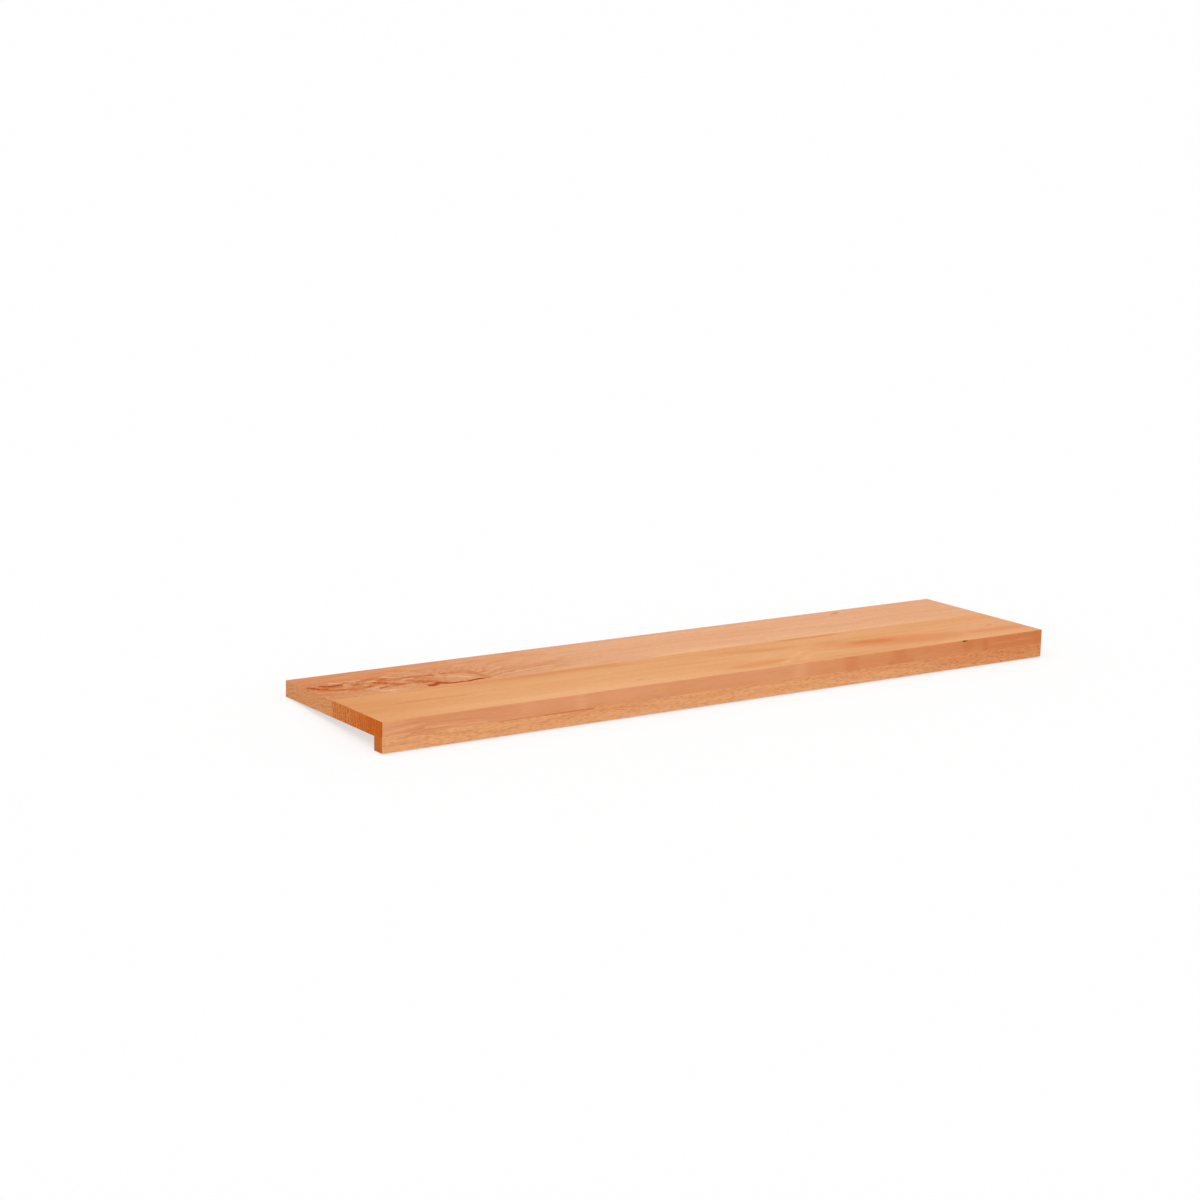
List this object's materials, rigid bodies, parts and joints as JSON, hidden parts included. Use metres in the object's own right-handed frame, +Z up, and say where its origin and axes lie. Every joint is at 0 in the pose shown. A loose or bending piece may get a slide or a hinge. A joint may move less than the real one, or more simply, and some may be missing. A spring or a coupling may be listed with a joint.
{
  "type": "stair tread",
  "caption": "Glued beech stair tread with a plain flat top and a deeper square nosing made by a strip let in under the front edge, to lay over a step.",
  "frame": {"origin": "on the floor under the middle of the tread, level with the bottom of the nosing strip", "axes": "+X along the tread, to the right of a person going up; +Y from the nosing to the rear edge; +Z up, out of the walking surface"},
  "size_m": [1.1, 0.25, 0.04],
  "materials": {
    "rear_board_beech": "sanded and clear sealed, satin",
    "front_board_beech": "sanded and clear sealed, satin",
    "nosing_strip_beech": "sanded and clear sealed, satin"
  },
  "bodies": {
    "root": {"rear_board": "rear_board_beech", "front_board": "front_board_beech", "nosing_strip": "nosing_strip_beech"}
  },
  "joints": []
}
